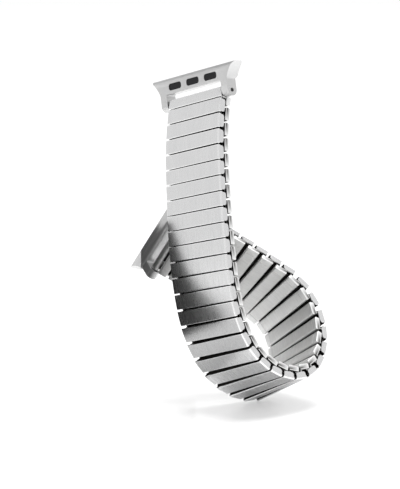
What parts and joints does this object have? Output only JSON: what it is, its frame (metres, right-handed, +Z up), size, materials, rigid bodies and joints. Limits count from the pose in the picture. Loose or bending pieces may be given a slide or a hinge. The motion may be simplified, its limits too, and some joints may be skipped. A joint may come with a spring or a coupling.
{
  "type": "expansion watch band",
  "caption": "Steel expansion band of two rows of sleeves tied by sprung staples, with a slide-in adapter on a spring bar at each end.",
  "frame": {"origin": "middle of the slide-in rail at the band's free end", "axes": "+Z up as the band stands in the picture, +X level and square to +Z in the plane of the free end's rail, towards the rail's near tip"},
  "size_m": [0.0455, 0.0313, 0.0759],
  "materials": {
    "covers": "brushed along the band",
    "inner_row": "satin",
    "adapter": "fine satin",
    "inserts": "matt black",
    "spring_bar": "turned"
  },
  "bodies": {
    "adapter_free_end": {"adapter_free_end": "adapter", "inserts_free_end": "inserts", "spring_bar_free_end": "spring_bar"},
    "end_link_free_end": {"end_link_free_end": "covers"},
    "link_01": {"link_01": "covers"},
    "inner_sleeve_01": {"inner_sleeve_01": "inner_row"},
    "link_02": {"link_02": "covers"},
    "inner_sleeve_02": {"inner_sleeve_02": "inner_row"},
    "link_03": {"link_03": "covers"},
    "inner_sleeve_03": {"inner_sleeve_03": "inner_row"},
    "link_04": {"link_04": "covers"},
    "inner_sleeve_04": {"inner_sleeve_04": "inner_row"},
    "link_05": {"link_05": "covers"},
    "inner_sleeve_05": {"inner_sleeve_05": "inner_row"},
    "link_06": {"link_06": "covers"},
    "inner_sleeve_06": {"inner_sleeve_06": "inner_row"},
    "link_07": {"link_07": "covers"},
    "inner_sleeve_07": {"inner_sleeve_07": "inner_row"},
    "link_08": {"link_08": "covers"},
    "inner_sleeve_08": {"inner_sleeve_08": "inner_row"},
    "link_09": {"link_09": "covers"},
    "inner_sleeve_09": {"inner_sleeve_09": "inner_row"},
    "link_10": {"link_10": "covers"},
    "inner_sleeve_10": {"inner_sleeve_10": "inner_row"},
    "link_11": {"link_11": "covers"},
    "inner_sleeve_11": {"inner_sleeve_11": "inner_row"},
    "link_12": {"link_12": "covers"},
    "inner_sleeve_12": {"inner_sleeve_12": "inner_row"},
    "link_13": {"link_13": "covers"},
    "inner_sleeve_13": {"inner_sleeve_13": "inner_row"},
    "link_14": {"link_14": "covers"},
    "inner_sleeve_14": {"inner_sleeve_14": "inner_row"},
    "link_15": {"link_15": "covers"},
    "link_16": {"link_16": "covers"},
    "link_17": {"link_17": "covers"},
    "link_18": {"link_18": "covers"},
    "link_19": {"link_19": "covers"},
    "link_20": {"link_20": "covers"},
    "link_21": {"link_21": "covers"},
    "link_22": {"link_22": "covers"},
    "link_23": {"link_23": "covers"},
    "link_24": {"link_24": "covers"},
    "link_25": {"link_25": "covers"},
    "link_26": {"link_26": "covers"},
    "link_27": {"link_27": "covers"},
    "link_28": {"link_28": "covers"},
    "link_29": {"link_29": "covers"},
    "link_30": {"link_30": "covers"},
    "link_31": {"link_31": "covers"},
    "link_32": {"link_32": "covers"},
    "link_33": {"link_33": "covers"},
    "link_34": {"link_34": "covers"},
    "link_35": {"link_35": "covers"},
    "end_link_watch_end": {"end_link_watch_end": "covers"},
    "adapter_watch_end": {"adapter_watch_end": "adapter", "inserts_watch_end": "inserts", "spring_bar_watch_end": "spring_bar"}
  },
  "joints": [
    {"name": "end_swing_free_end", "type": "hinge", "parent": "adapter_free_end", "child": "end_link_free_end", "pos_m": [0.00114, -0.0007, -0.00394], "axis": [0.9603, 0, 0.279], "range_deg": [-23, 77]},
    {"name": "bend_01", "type": "hinge", "parent": "end_link_free_end", "child": "link_01", "pos_m": [0.00187, -0.00043, -0.00645], "axis": [-0.9603, 0, -0.279], "range_deg": [-19, 3.5]},
    {"name": "expand_01", "type": "slide", "parent": "link_01", "child": "inner_sleeve_01", "axis": [0.2586, -0.36, -0.8964], "range_m": [0, 0.00062], "stiffness_N_per_m": 3000, "springref_m": -0.0003},
    {"name": "bend_02", "type": "hinge", "parent": "inner_sleeve_01", "child": "link_02", "pos_m": [0.00274, -0.00163, -0.00944], "axis": [0.961, 0.0014, 0.2767], "range_deg": [-5, 17.5]},
    {"name": "expand_02", "type": "slide", "parent": "link_02", "child": "inner_sleeve_02", "axis": [0.26, -0.3107, -0.9142], "range_m": [0, 0.00062], "stiffness_N_per_m": 3000, "springref_m": -0.0003},
    {"name": "bend_03", "type": "hinge", "parent": "inner_sleeve_02", "child": "link_03", "pos_m": [0.0036, -0.00266, -0.01248], "axis": [-0.9622, -0.0045, -0.2722], "range_deg": [-17.5, 5]},
    {"name": "expand_03", "type": "slide", "parent": "link_03", "child": "inner_sleeve_03", "axis": [0.2605, -0.2605, -0.9296], "range_m": [0, 0.00062], "stiffness_N_per_m": 3000, "springref_m": -0.0003},
    {"name": "bend_04", "type": "hinge", "parent": "inner_sleeve_03", "child": "link_04", "pos_m": [0.00447, -0.00353, -0.01558], "axis": [0.9634, 0.0078, 0.2678], "range_deg": [-5, 17.5]},
    {"name": "expand_04", "type": "slide", "parent": "link_04", "child": "inner_sleeve_04", "axis": [0.2605, -0.2097, -0.9424], "range_m": [0, 0.00062], "stiffness_N_per_m": 3000, "springref_m": -0.0003},
    {"name": "bend_05", "type": "hinge", "parent": "inner_sleeve_04", "child": "link_05", "pos_m": [0.00534, -0.00423, -0.01871], "axis": [-0.9645, -0.0127, -0.2638], "range_deg": [-19.6, 2.9]},
    {"name": "expand_05", "type": "slide", "parent": "link_05", "child": "inner_sleeve_05", "axis": [0.2586, -0.1943, -0.9462], "range_m": [0, 0.00062], "stiffness_N_per_m": 3000, "springref_m": -0.0003},
    {"name": "bend_06", "type": "hinge", "parent": "inner_sleeve_05", "child": "link_06", "pos_m": [0.00619, -0.00487, -0.02187], "axis": [0.9654, 0.019, 0.26], "range_deg": [-2.9, 19.6]},
    {"name": "expand_06", "type": "slide", "parent": "link_06", "child": "inner_sleeve_06", "axis": [0.2566, -0.179, -0.9498], "range_m": [0, 0.00062], "stiffness_N_per_m": 3000, "springref_m": -0.0003},
    {"name": "bend_07", "type": "hinge", "parent": "inner_sleeve_06", "child": "link_07", "pos_m": [0.00704, -0.00547, -0.02503], "axis": [0.9663, 0.0254, 0.2562], "range_deg": [-2.9, 19.6]},
    {"name": "expand_07", "type": "slide", "parent": "link_07", "child": "inner_sleeve_07", "axis": [0.2544, -0.1636, -0.9532], "range_m": [0, 0.00062], "stiffness_N_per_m": 3000, "springref_m": -0.0003},
    {"name": "bend_08", "type": "hinge", "parent": "inner_sleeve_07", "child": "link_08", "pos_m": [0.00789, -0.00602, -0.02821], "axis": [-0.967, -0.0319, -0.2526], "range_deg": [-19.6, 2.9]},
    {"name": "expand_08", "type": "slide", "parent": "link_08", "child": "inner_sleeve_08", "axis": [0.252, -0.1482, -0.9563], "range_m": [0, 0.00062], "stiffness_N_per_m": 3000, "springref_m": -0.0003},
    {"name": "bend_09", "type": "hinge", "parent": "inner_sleeve_08", "child": "link_09", "pos_m": [0.00872, -0.00651, -0.03139], "axis": [0.9677, 0.0384, 0.249], "range_deg": [-2.9, 19.6]},
    {"name": "expand_09", "type": "slide", "parent": "link_09", "child": "inner_sleeve_09", "axis": [0.2494, -0.1327, -0.9593], "range_m": [0, 0.00062], "stiffness_N_per_m": 3000, "springref_m": -0.0003},
    {"name": "bend_10", "type": "hinge", "parent": "inner_sleeve_09", "child": "link_10", "pos_m": [0.00955, -0.00695, -0.03459], "axis": [-0.9683, -0.045, -0.2456], "range_deg": [-16.1, 2.9]},
    {"name": "expand_10", "type": "slide", "parent": "link_10", "child": "inner_sleeve_10", "axis": [0.2496, -0.1171, -0.9612], "range_m": [0, 0.00062], "stiffness_N_per_m": 3000, "springref_m": -0.0003},
    {"name": "bend_11", "type": "hinge", "parent": "inner_sleeve_10", "child": "link_11", "pos_m": [0.01037, -0.00734, -0.03779], "axis": [0.9682, 0.0485, 0.2455], "range_deg": [-4.4, 13.1]},
    {"name": "expand_11", "type": "slide", "parent": "link_11", "child": "inner_sleeve_11", "axis": [0.252, -0.0753, -0.9648], "range_m": [0, 0.00062], "stiffness_N_per_m": 3000, "springref_m": -0.0003},
    {"name": "bend_12", "type": "hinge", "parent": "inner_sleeve_11", "child": "link_12", "pos_m": [0.01121, -0.00759, -0.041], "axis": [0.9673, 0.0487, 0.2489], "range_deg": [-4.4, 11.4]},
    {"name": "expand_12", "type": "slide", "parent": "link_12", "child": "inner_sleeve_12", "axis": [0.254, -0.0334, -0.9666], "range_m": [0, 0.00062], "stiffness_N_per_m": 3000, "springref_m": -0.0003},
    {"name": "bend_13", "type": "hinge", "parent": "inner_sleeve_12", "child": "link_13", "pos_m": [0.01205, -0.0077, -0.04422], "axis": [-0.9664, -0.0488, -0.2523], "range_deg": [-9.8, 4.4]},
    {"name": "expand_13", "type": "slide", "parent": "link_13", "child": "inner_sleeve_13", "axis": [0.2589, 0.0088, -0.9659], "range_m": [0, 0.00062], "stiffness_N_per_m": 3000, "springref_m": -0.0003},
    {"name": "bend_14", "type": "hinge", "parent": "inner_sleeve_13", "child": "link_14", "pos_m": [0.01291, -0.00767, -0.04744], "axis": [0.9647, 0.047, 0.259], "range_deg": [-6.8, 8.4]},
    {"name": "expand_14", "type": "slide", "parent": "link_14", "child": "inner_sleeve_14", "axis": [0.2649, 0.0928, -0.9598], "range_m": [0, 0.00062], "stiffness_N_per_m": 3000, "springref_m": -0.0003},
    {"name": "bend_15", "type": "hinge", "parent": "inner_sleeve_14", "child": "link_15", "pos_m": [0.01378, -0.00737, -0.05064], "axis": [-0.962, -0.0434, -0.2697], "range_deg": [-7.6, 9.1]},
    {"name": "bend_16", "type": "hinge", "parent": "link_15", "child": "link_16", "pos_m": [0.01466, -0.00665, -0.05377], "axis": [0.9587, 0.0416, 0.2814], "range_deg": [-11.6, 6.9]},
    {"name": "bend_17", "type": "hinge", "parent": "link_16", "child": "link_17", "pos_m": [0.0155, -0.0054, -0.05674], "axis": [0.9542, 0.0459, 0.2956], "range_deg": [-14.4, 6.5]},
    {"name": "bend_18", "type": "hinge", "parent": "link_17", "child": "link_18", "pos_m": [0.01624, -0.00351, -0.05938], "axis": [-0.9466, -0.0577, -0.3173], "range_deg": [-6.1, 14.6]},
    {"name": "bend_19", "type": "hinge", "parent": "link_18", "child": "link_19", "pos_m": [0.01683, -0.00108, -0.06157], "axis": [0.9359, 0.0688, 0.3454], "range_deg": [-14.6, 5.9]},
    {"name": "bend_20", "type": "hinge", "parent": "link_19", "child": "link_20", "pos_m": [0.01723, 0.0018, -0.06321], "axis": [-0.9242, -0.0731, -0.375], "range_deg": [-5.6, 14.6]},
    {"name": "bend_21", "type": "hinge", "parent": "link_20", "child": "link_21", "pos_m": [0.0174, 0.00497, -0.06421], "axis": [0.9116, 0.0714, 0.4049], "range_deg": [-18.6, 3.9]},
    {"name": "bend_22", "type": "hinge", "parent": "link_21", "child": "link_22", "pos_m": [0.01719, 0.00829, -0.06435], "axis": [-0.8981, -0.07, -0.4343], "range_deg": [-1.3, 21.2]},
    {"name": "bend_23", "type": "hinge", "parent": "link_22", "child": "link_23", "pos_m": [0.01649, 0.01143, -0.06351], "axis": [0.8831, 0.0659, 0.4645], "range_deg": [-21.2, 1.3]},
    {"name": "bend_24", "type": "hinge", "parent": "link_23", "child": "link_24", "pos_m": [0.01534, 0.01405, -0.06179], "axis": [-0.8688, -0.0536, -0.4923], "range_deg": [-6.1, 16.4]},
    {"name": "bend_25", "type": "hinge", "parent": "link_24", "child": "link_25", "pos_m": [0.01389, 0.01607, -0.05958], "axis": [-0.8549, -0.0361, -0.5176], "range_deg": [-6.1, 16.4]},
    {"name": "bend_26", "type": "hinge", "parent": "link_25", "child": "link_26", "pos_m": [0.01222, 0.01737, -0.05701], "axis": [0.843, 0.012, 0.5378], "range_deg": [-16.4, 6.1]},
    {"name": "bend_27", "type": "hinge", "parent": "link_26", "child": "link_27", "pos_m": [0.01032, 0.01789, -0.05415], "axis": [-0.8298, 0.0126, -0.5579], "range_deg": [-1.6, 20.9]},
    {"name": "bend_28", "type": "hinge", "parent": "link_27", "child": "link_28", "pos_m": [0.00835, 0.01727, -0.05136], "axis": [0.8136, -0.0125, 0.5813], "range_deg": [-21.4, 1.1]},
    {"name": "bend_29", "type": "hinge", "parent": "link_28", "child": "link_29", "pos_m": [0.00655, 0.01555, -0.04894], "axis": [-0.7867, -0.0101, -0.6173], "range_deg": [-4.5, 18]},
    {"name": "bend_30", "type": "hinge", "parent": "link_29", "child": "link_30", "pos_m": [0.00505, 0.01307, -0.04704], "axis": [-0.7504, -0.0261, -0.6604], "range_deg": [-13.8, 0.8]},
    {"name": "bend_31", "type": "hinge", "parent": "link_30", "child": "link_31", "pos_m": [0.00344, 0.01064, -0.04516], "axis": [0.7105, 0.045, 0.7023], "range_deg": [-0.8, 15.2]},
    {"name": "bend_32", "type": "hinge", "parent": "link_31", "child": "link_32", "pos_m": [0.00172, 0.00825, -0.04331], "axis": [-0.6681, -0.065, -0.7412], "range_deg": [-17.2, 0.8]},
    {"name": "bend_33", "type": "hinge", "parent": "link_32", "child": "link_33", "pos_m": [-0.0001, 0.00591, -0.04151], "axis": [0.6236, 0.0859, 0.777], "range_deg": [-0.8, 20.2]},
    {"name": "bend_34", "type": "hinge", "parent": "link_33", "child": "link_34", "pos_m": [-0.00201, 0.00362, -0.03974], "axis": [-0.5834, -0.1152, -0.804], "range_deg": [-21.7, 0.8]},
    {"name": "bend_35", "type": "hinge", "parent": "link_34", "child": "link_35", "pos_m": [-0.00398, 0.00139, -0.03796], "axis": [-0.5483, -0.1525, -0.8223], "range_deg": [-21.7, 0.8]},
    {"name": "bend_36", "type": "hinge", "parent": "link_35", "child": "end_link_watch_end", "pos_m": [-0.00501, 0.00027, -0.03705], "axis": [0.5304, 0.1713, 0.8302], "range_deg": [-0.8, 21.7]},
    {"name": "end_swing_watch_end", "type": "hinge", "parent": "end_link_watch_end", "child": "adapter_watch_end", "pos_m": [-0.00715, -0.00018, -0.03558], "axis": [-0.5304, -0.1713, -0.8302], "range_deg": [-89, 5]}
  ],
  "couplings": [
    {"joint": "expand_02", "follows": "expand_01", "ratio": 1},
    {"joint": "expand_03", "follows": "expand_01", "ratio": 1},
    {"joint": "expand_04", "follows": "expand_01", "ratio": 1},
    {"joint": "expand_05", "follows": "expand_01", "ratio": 1},
    {"joint": "expand_06", "follows": "expand_01", "ratio": 1},
    {"joint": "expand_07", "follows": "expand_01", "ratio": 1},
    {"joint": "expand_08", "follows": "expand_01", "ratio": 1},
    {"joint": "expand_09", "follows": "expand_01", "ratio": 1},
    {"joint": "expand_10", "follows": "expand_01", "ratio": 1},
    {"joint": "expand_11", "follows": "expand_01", "ratio": 1},
    {"joint": "expand_12", "follows": "expand_01", "ratio": 1},
    {"joint": "expand_13", "follows": "expand_01", "ratio": 1},
    {"joint": "expand_14", "follows": "expand_01", "ratio": 1}
  ]
}
